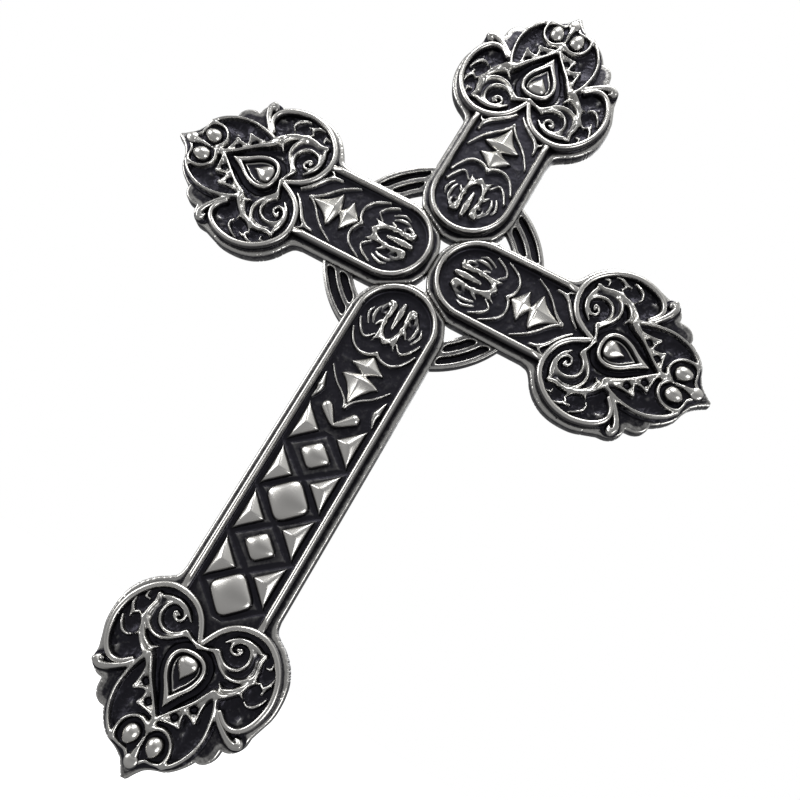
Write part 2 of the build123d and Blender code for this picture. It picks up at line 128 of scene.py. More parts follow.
# ------------------------------------------------------------------ curves and distances
def smooth(points, steps=6):
    """A Catmull-Rom curve through given points."""
    p = np.array(points, float)
    p = np.vstack([2 * p[0] - p[1], p, 2 * p[-1] - p[-2]])
    t = np.linspace(0, 1, steps, endpoint=False)[:, None]
    runs = []
    for a, b, c, d in zip(p[:-3], p[1:-2], p[2:-1], p[3:]):
        bend = 2 * a - 5 * b + 4 * c - d
        runs.append(0.5 * (2 * b + (c - a) * t + bend * t**2 + (3 * b - a - 3 * c + d) * t**3))
    return np.vstack([*runs, p[-2][None]])


def mirrored(half):
    """Closes the right half of an outline, drawn from its top to its bottom on the middle line."""
    half = np.array(half, float)
    left = half[::-1] * [-1, 1]
    return np.vstack([half, left[1:-1]])


def line_distance(line, x, y):
    """Distance of points from a polyline, and how far along it the nearest place is, from 0 to 1."""
    best = np.full(x.shape, 1e9)
    along = np.zeros(x.shape)
    lengths = np.hypot(*np.diff(line, axis=0).T)
    total = max(lengths.sum(), 1e-9)
    start = 0.0
    for (ax, ay), (bx, by), length in zip(line[:-1], line[1:], lengths):
        if length < 1e-9:
            continue
        dx, dy = (bx - ax) / length, (by - ay) / length
        t = np.clip((x - ax) * dx + (y - ay) * dy, 0, length)
        d = np.hypot(x - ax - t * dx, y - ay - t * dy)
        near = d < best
        best = np.where(near, d, best)
        along = np.where(near, (start + t) / total, along)
        start += length
    return best, along


def inside_distance(outline, x, y):
    """Signed distance to a closed outline, positive inside."""
    closed = np.vstack([outline, outline[:1]])
    distance, _ = line_distance(closed, x, y)
    inside = np.zeros(x.shape, bool)
    for (ax, ay), (bx, by) in zip(closed[:-1], closed[1:]):
        if ay == by:
            continue
        inside ^= ((ay > y) != (by > y)) & (x < (bx - ax) * (y - ay) / (by - ay) + ax)
    return np.where(inside, distance, -distance)


def stadium(x, y, half, centre):
    """Signed distance to a strip that runs outwards from a round inner end, positive inside."""
    return half - np.hypot(x, np.minimum(y - centre, 0))


def ease(low, high, value):
    t = np.clip((value - low) / (high - low), 0, 1)
    return t * t * (3 - 2 * t)


# ------------------------------------------------------------------ meshes from heights
def blurred(values, cells):
    """A box blur, twice, that copies the border outwards."""
    for _ in range(2):
        for axis in (0, 1):
            wide = np.pad(values, [(cells, cells) if a == axis else (0, 0) for a in (0, 1)], mode="edge")
            total = np.insert(np.cumsum(wide, axis=axis), 0, 0, axis=axis)
            span = 2 * cells + 1
            upper = np.take(total, range(span, total.shape[axis]), axis=axis)
            lower = np.take(total, range(0, total.shape[axis] - span), axis=axis)
            values = (upper - lower) / span
    return values


def loops_of(border):
    """Follows border edges round into closed loops."""
    after = {}
    for a, b in border.tolist():
        after.setdefault(a, []).append(b)
    loops = []
    while after:
        first = next(iter(after))
        loop = [first]
        here = after[first].pop()
        while here != first:
            loop.append(here)
            here = after[here].pop()
        after = {a: b for a, b in after.items() if b}
        loops.append(loop)
    return loops


PROBE = 0.05  # the small step that slopes are measured over
SNAP = 0.62  # grid points closer than this share of a step are drawn to the outline
WORN = (10.0, 12.0)  # between these heights the relief turns from dark to worn bright
STANDING_REACH = 1.6  # how far round itself a point is compared with, to tell whether it stands out


def casting(name, inside, heights, box, step, wall, polish=None, end=np.inf):
    """A closed casting. inside is a signed distance and heights gives the front's height; the front is a
    grid whose edge is drawn to the outline. wall lists the rows down the side: outwards, height (below
    the front's edge where it is negative), polish.
    With no polish function, what stands out is polished, and so is what lies above the worn heights.
    Nothing reaches outwards beyond end.
    """
    xs = np.arange(box[0], box[1] + step, step)
    ys = np.arange(box[2], box[3] + step, step)
    x, y = np.meshgrid(xs, ys)
    f = inside(x, y)
    gx = (inside(x + PROBE, y) - f) / PROBE
    gy = (inside(x, y + PROBE) - f) / PROBE
    size = np.maximum(gx * gx + gy * gy, 0.2)
    near = np.abs(f) < SNAP * step
    x = np.where(near, x - f * gx / size, x)
    y = np.where(near, y - f * gy / size, y)
    keep = (f >= 0) | near
    h = heights(x, y)
    if polish is None:
        standing = h - blurred(h, max(1, round(STANDING_REACH / step)))
        shade = np.maximum(ease(-0.2, 0.7, standing), 0.85 * ease(*WORN, h))
        shade = shade * ease(-1.3, -0.2, standing)
    else:
        shade = polish(x, y, h)

    cells = keep[:-1, :-1] & keep[1:, :-1] & keep[:-1, 1:] & keep[1:, 1:]
    index = np.arange(x.size).reshape(x.shape)
    rows, cols = np.nonzero(cells)
    corners = index[rows, cols], index[rows, cols + 1], index[rows + 1, cols + 1], index[rows + 1, cols]
    used, flat = np.unique(np.stack(corners, 1), return_inverse=True)
    quads = flat.reshape(-1, 4)
    count = len(used)
    px, py, ph, shade = (v.ravel()[used] for v in (x, y, h, shade))

    edges = np.vstack([quads[:, [i, (i + 1) % 4]] for i in range(4)])
    forward = edges[:, 0].astype(np.int64) * count + edges[:, 1]
    backward = edges[:, 1].astype(np.int64) * count + edges[:, 0]
    border = edges[~np.isin(forward, backward)]
    ring = np.unique(border)
    slot = np.full(count, -1)
    slot[ring] = np.arange(len(ring))
    rx, ry = px[ring], py[ring]
    nx = inside(rx - PROBE, ry) - inside(rx + PROBE, ry)
    ny = inside(rx, ry - PROBE) - inside(rx, ry + PROBE)
    n = np.maximum(np.hypot(nx, ny), 1e-6)
    nx, ny = nx / n, ny / n

    points, shades, faces = [np.stack([px, py, ph], 1)], [shade], quads.tolist()
    last, offset = border, count
    for outwards, height, row_shade in wall:
        z = np.full(len(ring), float(height)) if height > 0 else ph[ring] + height
        points.append(np.stack([rx + nx * outwards, ry + ny * outwards, z], 1))
        shades.append(np.full(len(ring), row_shade))
        now = slot[border] + offset
        faces += np.stack([last[:, 1], last[:, 0], now[:, 0], now[:, 1]], 1).tolist()
        last = now
        offset += len(ring)
    faces += [loop[::-1] for loop in loops_of(last)]
    points = np.vstack(points)
    points[:, 1] = np.minimum(points[:, 1], end)
    return mesh_of(name, points, faces, np.concatenate(shades))


def mesh_of(name, points, faces, polish):
    """A smooth mesh in metres that knows how polished each vertex is."""
    mesh = bpy.data.meshes.new(name)
    mesh.from_pydata((points * MM).tolist(), [], faces)
    mesh.attributes.new("polish", "FLOAT", "POINT").data.foreach_set("value", polish.astype(np.float32))
    mesh.shade_smooth()
    return mesh


def place(name, mesh, turn, outward, material, slot, *nodes):
    """Puts a mesh on an arm, hangs it on the body and lets it stand for its CAD nodes."""
    piece = bpy.data.objects.new(name, mesh)
    bpy.context.scene.collection.objects.link(piece)
    piece.matrix_world = arm_matrix(turn, outward)
    if not mesh.materials:
        mesh.materials.append(material)
    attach(piece, BODY)
    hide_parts(*nodes)


# ------------------------------------------------------------------ ribs
NEAR_MIDDLE = 2.5  # a rib that comes closer to the middle line also melts into its mirror image


class Web:
    """Ribs and plates of metal that melt into each other where they meet."""

    def __init__(self, x, y, ground, melt=0.55):
        self.x, self.y, self.ground, self.melt = x, y, ground, melt
        self.sum = np.zeros(x.shape)
        self.width = np.zeros(x.shape)
        self.top = np.zeros(x.shape)

    def add(self, outside, width, top, where=...):
        """outside is the distance beyond the edge, negative within."""
        weight = np.exp(np.clip(-outside / self.melt, -30, 30))
        self.sum[where] += weight
        self.width[where] += weight * width
        self.top[where] += weight * top

    def rib(self, line, widths, tops, round_off=1.35):
        """widths are half widths; they and the tops are spread along the line."""
        line = smooth(line)
        marks_w, marks_t = np.linspace(0, 1, len(widths)), np.linspace(0, 1, len(tops))
        for side in (1, -1) if line[:, 0].min() < NEAR_MIDDLE else (1,):
            reach = max(widths) + 5 * self.melt
            sx = self.x * side
            low, high = line.min(0) - reach, line.max(0) + reach
            near = (sx > low[0]) & (sx < high[0]) & (self.y > low[1]) & (self.y < high[1])
            d, t = line_distance(line, sx[near], self.y[near])
            width = np.interp(t, marks_w, widths)
            self.add(d - width, np.minimum(width, round_off), np.interp(t, marks_t, tops), near)

    def plate(self, outline, width, top):
        self.add(-inside_distance(np.array(outline, float), self.x, self.y), width, top)

    def heights(self, floor=None):
        """The web's height over its floor."""
        floor = np.full(self.x.shape, self.ground) if floor is None else floor
        total = np.maximum(self.sum, 1e-12)
        depth = self.melt * np.log(total)
        width = np.maximum(self.width / total, 0.1)
        q = np.clip(depth / width, 0, 1)
        bulge = np.sqrt(np.clip(1 - (1 - q) ** 2, 0, 1))
        top = np.where(depth > 0, self.top / total, self.ground)
        return np.maximum(floor, np.where(depth > 0, self.ground + (top - self.ground) * bulge, -99))


def sink(h, x, y, centre, radii, depth):
    """Lowers h by a round-bottomed bowl."""
    q = 1 - ((x - centre[0]) / radii[0]) ** 2 - ((y - centre[1]) / radii[1]) ** 2
    return h - depth * np.clip(q, 0, 1)


LATTICE = np.random.default_rng(11).random((71, 71))


def grit(x, y, size):
    """Small hand-worked unevenness of the surface: two sizes of smooth random bumps."""
    total = 0.0
    count = len(LATTICE)
    for pitch, part in ((2.6, 1.0), (1.1, 0.6)):
        u, v = x / pitch + 90, y / pitch + 90
        i, j = np.floor(u).astype(int), np.floor(v).astype(int)
        a, b = ease(0, 1, u - i), ease(0, 1, v - j)
        i, j, i_next, j_next = i % count, j % count, (i + 1) % count, (j + 1) % count
        near = LATTICE[i, j] * (1 - a) + LATTICE[i_next, j] * a
        far = LATTICE[i, j_next] * (1 - a) + LATTICE[i_next, j_next] * a
        total = total + part * (near * (1 - b) + far * b - 0.5)
    return size * total


# ------------------------------------------------------------------ outlines of the finial
FLANGE_HALF = np.vstack([
    smooth([
        (0, 151.3), (2.9, 146.6), (6, 142.8), (10, 140.4), (15, 138.6), (19, 135.4), (22, 131.6),
        (23.5, 129),
    ]),
    smooth([(23.5, 129), (25.8, 128.8), (28.6, 127.1), (30.4, 123.9), (30.9, 119.7)]),
    smooth([(30.9, 119.7), (33.8, 119.2), (36.9, 117.2), (38.8, 113.8), (39.3, 109.5)]),
    smooth([
        (39.3, 109.5), (41, 104.6), (42.9, 99), (43.5, 93.5), (43.1, 87), (41.4, 81), (38, 75.4),
        (33.4, 71), (28.6, 68), (25.8, 65.4), (24.8, 61.5),
    ]),
])
RELIEF_HALF = np.vstack([
    smooth([
        (0, 146.6), (2.6, 143.6), (7, 140.2), (13.6, 138), (19.2, 133.4), (22.6, 126.4), (23.9, 119),
        (23.4, 111.4),
    ]),
    smooth([
        (23.4, 111.4), (27, 114.2), (31, 116.6), (35.4, 117.2), (38, 115.2), (38.4, 111.4), (36.2, 109.2),
    ]),
    smooth([
        (36.2, 109.2), (39, 104), (41.1, 98.4), (41.6, 92), (40.4, 85.4), (37.2, 78.8), (32.2, 73.2),
        (26, 69.9), (20, 68.9), (14, 69.8), (9, 72.2), (4.8, 76.4), (1.8, 80.6), (0, 83.6),
    ]),
])
HEART_LINE = smooth([
    (0.7, 85.4), (3, 80.8), (6, 76.4), (10, 73), (15, 71), (20, 70.3), (25, 71), (30, 73.6), (34.8, 78.4),
    (38.4, 84.8), (39.9, 92), (39.4, 98), (37.4, 104), (34.2, 108.2), (30.4, 109.9), (26.4, 109), (22.6, 106),
])
TEARDROP = mirrored(smooth([
    (0, 116.6), (1.8, 113), (4.2, 109), (7, 105), (8.8, 100.6), (9, 96.4), (7.4, 92.8), (4.2, 90.7),
    (0, 90),
]))
BOSS = mirrored(smooth([(0, 104.2), (1.4, 102), (3.4, 99.6), (4.9, 97), (4.6, 94.4), (2.6, 92.9), (0, 92.5)]))

# Each rib: its line, its half widths spread along it, and its heights there.
FINIAL_RIBS = [
    # the V that frames the teardrop, its node, and the arm that runs on from it round the outer bowl
    (
        [(0, 123.6), (1.5, 120.5), (4.1, 116.9), (8.2, 112), (11.4, 108), (14, 104), (16.6, 100.6)],
        [1.3, 1.0, 1.0, 1.4, 1.9],
        [13.4, 13.2, 13.4, 14.3, 15.8],
    ),
    ([(2.6, 120.6), (6, 120.3), (10.3, 119.9)], [0.9, 0.6, 0.45], [13.2, 12.9, 12.6]),
    ([(10.3, 119.9), (9.3, 116.8), (8.9, 113.2)], [0.45, 0.7, 0.9], [12.6, 12.8, 13.3]),
    ([(9.4, 113), (12.4, 113.9), (15.4, 115.3)], [0.9, 0.6, 0.45], [13.2, 12.9, 12.6]),
    ([(15.4, 115.3), (15, 111.4), (14.4, 107.4)], [0.45, 0.75, 1.1], [12.6, 12.9, 13.4]),
    (
        [(16.8, 101), (19.8, 100.3), (22.6, 98.4), (25, 95.6), (26.4, 92.4), (28, 88.8)],
        [1.7, 1.3, 1.3, 1.4],
        [16.1, 14.4, 13.6, 12.9],
    ),
    ([(28, 88.8), (27.9, 84.4), (27, 80.4), (27.6, 77)], [1.4, 1.3, 1.3], [12.9, 12.5, 12.4]),
    ([(25.8, 95), (27.6, 96.6)], [1.0, 0.5], [13, 11.6]),
    ([(27.6, 88.6), (30.4, 88.2)], [1.1, 0.4], [12.8, 11]),
    ([(26, 93), (22.6, 96), (18.6, 97.8), (15.8, 96.4)], [1.2, 1.1, 1.2, 0.6], [13, 13.6, 14.4, 11.4]),
    # leaf beside the pearls
    (
        [
            (17.8, 101), (19.8, 105.2), (21.4, 111), (22.2, 118), (21.4, 124.4), (19, 130.2),
            (15.8, 134.6), (12.6, 136.6),
        ],
        [1.5, 1.1, 1.0, 1.0, 1.1],
        [15, 13.4, 12.9, 12.7, 12.3],
    ),
    ([(16.4, 101.4), (15, 104.6), (14, 107.6)], [1.7, 1.5, 1.1], [15.4, 13.4, 12.6]),
    # cup under the pearls
    (
        [(0, 126.3), (2.6, 125), (5.4, 124.1), (8.8, 125), (11.6, 127.6), (12.9, 131.4), (12.7, 136)],
        [1.5, 1.1, 1.0, 1.1],
        [13.8, 12.9, 12.7, 12.4],
    ),
    ([(0, 126.4), (0, 129)], [1.5, 0.4], [12.8, 11]),
    ([(0, 131), (0, 135), (0, 138.6)], [0.3, 0.8, 1.6], [11.4, 12.2, 11.8]),
    ([(12.6, 136.6), (8.6, 137.9), (5, 138.6), (2.2, 141.4)], [1.1, 0.8, 0.9, 0.8], [12.3, 11.4, 11, 10.6]),
    # scroll and spiral
    ([(0, 87.6), (3.4, 86.9), (6.8, 85.7), (8.4, 85.4)], [1.3, 1.1, 1.3], [13.2, 12.6, 12.8]),
    (
        [(7.4, 85.8), (10, 88), (13, 90.6), (16.4, 92.3), (20, 92.5), (23.4, 91.2), (26, 89)],
        [1.1, 1.1, 1.1, 1.2],
        [12.8, 13, 13.1, 12.8],
    ),
    ([(25.2, 88), (25.8, 84.6), (24.8, 81), (22.9, 78)], [0.5, 0.6, 0.6], [12, 11.8, 11.4]),
    (
        [
            (8.2, 85.2), (11, 87.4), (14, 88.8), (17.4, 88.9), (20.6, 87.2), (22.4, 84), (22.3, 80.6),
            (20.6, 77.6), (17.6, 76.3), (14.4, 77.2), (12.5, 79.8), (12.8, 82), (14.8, 82.9), (16.8, 82),
            (17.4, 80.4),
        ],
        [1.0, 1.1, 1.1, 1.0, 0.9, 0.8],
        [12.6, 13, 12.8, 12.3, 11.9, 11.6],
    ),
    (
        [(9, 80.4), (12.6, 77.2), (17, 75.6), (22, 75.9), (25, 77)],
        [0.6, 1.2, 1.5, 1.4],
        [11.4, 12.4, 12.6, 12.4],
    ),
    ([(16.6, 80), (15.4, 80.4)], [0.8, 0.8], [11.4, 11.2]),
    # roll at the shoulder
    (
        [(21.4, 106.4), (23.8, 109.2), (27.4, 111.9), (31, 114), (34.4, 114.9), (36.4, 113.8)],
        [1.3, 1.5, 1.7, 1.8, 1.9, 1.9],
        [13.2, 13, 12.9, 12.8, 12.6],
    ),
    ([(36.4, 113.8), (35.8, 112.2), (34.2, 111.8)], [1.7, 1.2, 0.8], [12.5, 11.9, 11.4]),
    # commas in the outer crescent
    (
        [(29.4, 97.7), (31, 98.5), (33.6, 97.8), (35.8, 95.2), (37.2, 92.4)],
        [0.6, 1.0, 1.0, 0.5],
        [11.4, 12.2, 12, 11],
    ),
    ([(31.6, 87.8), (33.6, 88.8), (35.6, 86.4), (36.2, 82.6)], [0.5, 1.1, 1.0, 0.5], [10.8, 12, 11.8, 10.8]),
    ([(30.4, 81), (32.4, 80.6), (32.6, 78)], [0.5, 0.9, 0.6], [10.6, 11.6, 10.6]),
    ([(34, 91.4), (34.6, 89.4)], [0.5, 0.5], [11.2, 11]),
]
FINIAL_PLATES = [
    # the scroll's leaf, the wedge under the spiral, and the web at the outer arm's foot
    (
        [
            (9.6, 86.4), (13, 89.6), (17, 91.4), (20.6, 91.4), (24, 89.8), (26, 87), (26.4, 83.6),
            (25.6, 80.6), (26.4, 77.6), (23.2, 77.2), (22.8, 80), (23.4, 84.2), (21.4, 87.8), (17.4, 89.8),
            (13.6, 89),
        ],
        1.4,
        10.3,
    ),
    ([(2.6, 120.6), (7, 120.2), (10.2, 119.8), (9.4, 117), (9.6, 112.6), (5.4, 116.6)], 0.8, 11.1),
    ([(8.8, 113.4), (12.4, 113.9), (15.2, 115), (15, 111), (15.2, 105.4), (11.2, 110)], 0.8, 11.1),
]
FINIAL_PITS = [((6.7, 117.5), 1.9), ((12.3, 110.9), 1.9)]
FINIAL_GRIT = 0.12
PIT_DEPTH = 1.5
BOWL_DEPTH = 0.8
CHANNEL_DEPTH = 1.1  # of the dark channel round the teardrop
FINIAL_BOWLS = [
    ((26.8, 102.6), (5.8, 5.6)), ((31.6, 93.4), (4.2, 4.4)), ((32, 84.4), (3.4, 3.8)),
    ((16.8, 83), (5.6, 5.6)), ((16.6, 122), (4.6, 9)),
]


def finial_heights(x, y):
    x = np.abs(x)
    floor = np.full(x.shape, RELIEF_GROUND)
    for centre, radii in FINIAL_BOWLS:
        floor = sink(floor, x, y, centre, radii, BOWL_DEPTH)
    channel = inside_distance(TEARDROP, x, y)
    floor -= CHANNEL_DEPTH * ease(-3.6, -1.6, channel) * (channel < 0)
    floor += 0.5 * grit(x + 31, y, 1.0) * (channel < -3)  # the rough ground outside the channel
    floor += (channel > 0) * (0.7 + 0.9 * np.exp(-(((channel - 3.5) / 0.5) ** 2)))  # and a ring within
    web = Web(x, y, RELIEF_GROUND)
    for line, widths, tops in FINIAL_RIBS:
        web.rib(line, widths, tops)
    for outline, width, top in FINIAL_PLATES:
        web.plate(outline, width, top)
    h = web.heights(floor)
    for centre, radius in FINIAL_PITS:
        h -= PIT_DEPTH * ease(radius + 0.2, radius - 0.9, np.hypot(x - centre[0], y - centre[1]))
    return h + grit(x, y, FINIAL_GRIT)


RELIEF_OUTLINE = mirrored(RELIEF_HALF)


def relief_inside(x, y):
    return inside_distance(RELIEF_OUTLINE, x, y)


def teardrop_rim_width(y):
    """The teardrop's rim is wider towards its point."""
    return 2.1 + 0.9 * ease(106, 115, y)


def teardrop_rim_inside(x, y):
    edge = inside_distance(TEARDROP, x, y)
    return np.minimum(edge, teardrop_rim_width(y) - edge)


def teardrop_rim_heights(x, y):
    edge = inside_distance(TEARDROP, x, y)
    width = teardrop_rim_width(y)
    across = np.clip(np.minimum(edge, width - edge) / (0.5 * width), 0, 1)
    return RELIEF_GROUND + 2.2 + 1.5 * np.sqrt(across * (2 - across)) + 0.4 * ease(106, 114, y)


def boss_inside(x, y):
    return inside_distance(BOSS, x, y)


def boss_heights(x, y):
    edge = np.clip(boss_inside(x, y) / 4.6, 0, 1)
    return RELIEF_GROUND + 1.4 + 3.5 * np.sqrt(edge * (2 - edge)) * (1 - 0.25 * ease(96, 104, y))


# Each pearl: its middle, its two half widths, its top, and its lean in degrees.
PEARL_LIST = [
    (5.9, 131.9, 3.8, 4.7, 14.2, -7), (-5.9, 131.9, 3.8, 4.7, 14.2, 7), (0, 141.4, 3.3, 3.3, 12.0, 0),
]


def pearl_fields(x, y):
    """For every pearl, how far inside its egg-shaped edge a point is, from 1 at the middle to 0."""
    for px, py, rx, ry, top, lean in PEARL_LIST:
        t = radians(lean)
        u = (x - px) * cos(t) + (y - py) * sin(t)
        v = (y - py) * cos(t) - (x - px) * sin(t)
        narrow = 1 - 0.16 * v / ry
        yield 1 - (u / (rx * narrow)) ** 2 - (v / ry) ** 2, top, rx


def pearls_inside(x, y):
    return np.max([q * rx * 0.5 for q, top, rx in pearl_fields(x, y)], axis=0)


def pearl_heights(x, y):
    h = np.full(x.shape, RELIEF_GROUND)
    foot = RELIEF_GROUND + 1.2
    for q, top, rx in pearl_fields(x, y):
        dome = foot + (top - foot) * np.sqrt(np.clip(q, 0, 1))
        h = np.maximum(h, np.where(q > -0.2, dome, 0))
    return h


def heart_rim_across(x, y):
    """The distance from the bead's line, and the bead's half width there."""
    d, t = line_distance(HEART_LINE, np.abs(x), y)
    return d, np.interp(t, [0, 0.08, 0.8, 1], [1.2, 1.45, 1.45, 1.1])


def heart_rim_inside(x, y):
    d, width = heart_rim_across(x, y)
    return width - d


def heart_rim_heights(x, y):
    d, width = heart_rim_across(x, y)
    foot = RELIEF_GROUND + 2.4
    return foot + (HEART_RIM_TOP - foot) * np.sqrt(np.clip(1 - (d / width) ** 2, 0, 1))


# ------------------------------------------------------------------ the arm's panel
ARM_RIBS = [
    # double arch with a cusp
    (
        [(0, 40.8), (2.4, 42.5), (5.6, 43.5), (9, 43.2), (12.4, 41), (15, 37.4), (16.9, 33.8)],
        [1.0, 0.9, 0.9, 0.7],
        [12.4, 12.2, 12, 11.4],
    ),
    # hooked arcs beside the shell
    (
        [(6.2, 32.2), (8, 34.4), (9.8, 35.6), (12.2, 34.2), (14.6, 31), (16.2, 28)],
        [0.5, 0.7, 0.9, 0.8],
        [11.2, 11.8, 11.9, 11.6],
    ),
    # the shell: pointed arch, tongue and the knobs at its foot
    (
        [(0, 33.8), (2.2, 32.2), (3.9, 29.2), (4.9, 25.6), (5.1, 21.6), (4.6, 18), (4.8, 15)],
        [1.5, 1.2, 1.2, 1.4, 1.7],
        [13, 12.9, 12.9, 12.8, 12.8],
    ),
    ([(0, 26), (0, 21), (0, 16), (0, 12.8)], [0.5, 1.3, 1.7, 1.2], [11.8, 12.9, 13.1, 12.6]),
    ([(4.8, 16.4), (5, 14.4), (6.6, 13.8)], [1.6, 1.7, 1.3], [12.8, 13, 12.6]),
    ([(5.4, 15.8), (7.6, 15.6), (8.8, 18), (8.4, 20.6)], [1.3, 1.3, 1.2, 0.7], [11.9, 11.2, 11, 10.5]),
    ([(4.8, 20), (6.4, 19.8), (7.6, 20.8)], [1.5, 1.0, 0.5], [12.2, 11.2, 10.6]),
    ([(4.8, 24.6), (6.6, 25.2), (8, 27.4)], [1.5, 1.1, 0.6], [12.4, 11.6, 10.8]),
    ([(10, 17.8), (11, 20.4), (11, 24), (9.8, 27)], [0.6, 1.2, 1.2, 0.7], [10.5, 11.1, 11.1, 10.6]),
    ([(13, 20), (14, 23), (13, 26.2), (11.8, 28.4)], [0.5, 1.0, 0.9, 0.5], [10.5, 11.2, 11, 10.6]),
]
CHEVRON = (
    [(0, 70.4), (2.2, 67.2), (4.8, 64.4), (8.6, 61.2), (12, 57.6), (14.4, 54), (16.4, 50.6)],
    [0.9, 0.8, 0.8, 0.6],
    [12.6, 12.2, 12, 11.4],
)
OUTER_CHEVRON = [
    (
        [(1.8, 77), (4.6, 74), (8.4, 71), (12.2, 68.4), (15, 65.2), (15.8, 61.2)],
        [0.7, 1.1, 1.3, 1.3, 0.9],
        [12, 12.2, 12.2, 12, 11.4],
    ),
    ([(14.8, 65.6), (17, 66.6), (18, 69)], [0.9, 0.8, 0.6], [11.8, 11.6, 11.2]),
]
FOOT_RIBS = [
    # the foot's chevron, and the pillow beyond it at each side; a fourth value says how far a rib's
    # edges round off
    (
        [(0, 86.9), (2, 83.6), (5, 80.8), (9, 77.9), (12.4, 74.4), (15.4, 70.6)],
        [0.9, 0.7, 0.7, 0.5],
        [12.4, 12, 11.9, 11.4],
    ),
    ([(16.2, 89.4), (15, 84), (16.4, 75.8)], [0.5, 2.3, 0.5], [11.2, 13.2, 11.2], 2.2),
]
PANEL_GRIT = 0.14
SHELL_CROWN = [
    (0, 32.9), (2.2, 33.2), (4.2, 34.2), (6, 36), (5.6, 33), (5.5, 29.4), (5.2, 26), (3.4, 28.6),
    (1.8, 30.8), (0, 31.8),
]


def arm_inside(arm):
    cap, shift = cap_of(arm), shift_of(arm)

    def inside(x, y):
        return np.minimum(stadium(x, y, PANEL_HALF, cap), -relief_inside(x, y - shift) + 0.3)

    return inside


def arm_heights(arm):
    cap = cap_of(arm)
    step = cap - SIDE_CAP

    def heights(x, y):
        across = np.abs(x)
        floor = np.full(x.shape, PANEL_GROUND)
        edge = stadium(x, y, PANEL_HALF, cap)
        floor += 1.9 * ease(3.6, 1.6, edge)
        web = Web(across, y - step, PANEL_GROUND, melt=0.4)
        for line, widths, tops in ARM_RIBS:
            web.rib(line, widths, tops)
        web.plate(SHELL_CROWN, 1.0, 11.9)
        if arm == "foot":
            web.y = y  # the foot's own ribs are drawn from the crossing, whatever its cap
            for rib in FOOT_RIBS:
                web.rib(*rib)
            nearest = LOZENGE_FIRST + np.round((y - LOZENGE_FIRST) / LOZENGE_PITCH) * LOZENGE_PITCH
            field = np.abs(across / 15.4 + np.abs(y - nearest) / (LOZENGE_PITCH / 2) - 1)
            band = (y > 101) & (y < LOZENGE_FIRST + 3.5 * LOZENGE_PITCH)
            floor = np.where(band, floor - 0.5 * ease(0.24, 0.05, field), floor)
        else:
            for line, widths, tops in [CHEVRON, *OUTER_CHEVRON]:
                web.rib(line, widths, tops)
        return web.heights(floor) + grit(x, y, PANEL_GRIT)

    return heights


def rim_inside(arm):
    cap, shift = cap_of(arm), shift_of(arm)

    def inside(x, y):
        return np.minimum(ARM_BEAD_HALF - np.abs(stadium(x, y, RIM_HALF, cap)), ARM_BEAD_END + shift - y)

    return inside


def rim_heights(arm):
    cap, shift = cap_of(arm), shift_of(arm)

    def heights(x, y):
        across = np.clip(np.abs(stadium(x, y, RIM_HALF, cap)) / ARM_BEAD_HALF, 0, 1)
        top = ARM_RIM_TOP - 2.2 * ease(63, 69, y - shift)
        return 11.6 + (top - 11.6) * np.sqrt(1 - across**2)

    return heights


# ------------------------------------------------------------------ bosses and studs on the panels
def star(x, y, centre_y, side, outer, inner, hollow_out, hollow_in):
    """1 at the middle of a four-pointed star, 0 at its edge; a low hollow figure pinches the points."""
    reach = np.where(y > centre_y, outer, inner)
    power = np.where(y > centre_y, hollow_out, hollow_in)
    blunt, its_root = 0.8, 0.894  # these round the ridges between the points
    u = (np.sqrt(x * x + blunt) - its_root) / side
    v = (np.sqrt((y - centre_y) ** 2 + blunt) - its_root) / reach
    return 1 - np.clip(u, 0, 9) ** power - np.clip(v, 0, 9) ** power


def fleur_field(x, y):
    large_star = star(x, y, 56.8, 8.9, 12.4, 2.9, 0.68, 1.25)
    small_star = star(x, y, 49.6, 8.1, 4.4, 6.2, 0.66, 0.85)
    return np.maximum(large_star, small_star)


def fleur_inside(x, y):
    return 3.2 * fleur_field(x, y)


def fleur_heights(x, y):
    return PANEL_GROUND + 0.5 + 4.0 * np.clip(fleur_field(x, y), 0, 1) ** 0.55


LOZENGE_FIRST = 113.5
LOZENGE_PITCH = 24.2
HALF_LOZENGE_OFFSET = 0.7  # the half lozenges sit a little further out than midway between the whole ones


class Lozenges:
    """Pillow-topped lozenges with rounded corners, in a row along the shaft."""

    CORNER_POWER = 4.4  # the higher, the sharper the corners

    def __init__(self, places, half_width, half_length, slope, rise, dome):
        self.places, self.half_width, self.half_length = np.array(places), half_width, half_length
        self.slope, self.rise, self.dome = slope, rise, dome

    def across(self, x, y):
        """From -1 to 1 between each two opposite sides."""
        at = self.places[np.argmin([np.abs(y - place) for place in self.places], axis=0)]
        u, v = x / self.half_width, (y - at) / self.half_length
        return u + v, u - v

    def inside(self, x, y):
        a, b = self.across(x, y)
        power = self.CORNER_POWER
        return self.slope * (1 - (np.abs(a) ** power + np.abs(b) ** power) ** (1 / power))

    def heights(self, x, y):
        a, b = self.across(x, y)
        pillow = np.clip(1 - a * a, 0, 1) * np.clip(1 - b * b, 0, 1)
        edge = np.clip(self.inside(x, y), 0, 9)
        return PANEL_GROUND + 0.3 + self.rise * (1 - np.exp(-edge / 0.55)) + self.dome * pillow**0.85


def half_lozenge_field(x, y):
    """Triangles with their base at the bead and their point to the middle."""
    across = np.abs(x)
    between = np.round((y - LOZENGE_FIRST) / LOZENGE_PITCH - 0.5) + 0.5
    at = LOZENGE_FIRST + np.clip(between, -0.5, 2.5) * LOZENGE_PITCH + HALF_LOZENGE_OFFSET
    length = np.sqrt((y - at) ** 2 + 0.1)
    sides = (across - 4.0) * 0.668 - length * 0.744
    base = 15.9 - across
    return np.minimum(sides, base), sides, base


def half_lozenge_inside(x, y):
    return half_lozenge_field(x, y)[0]


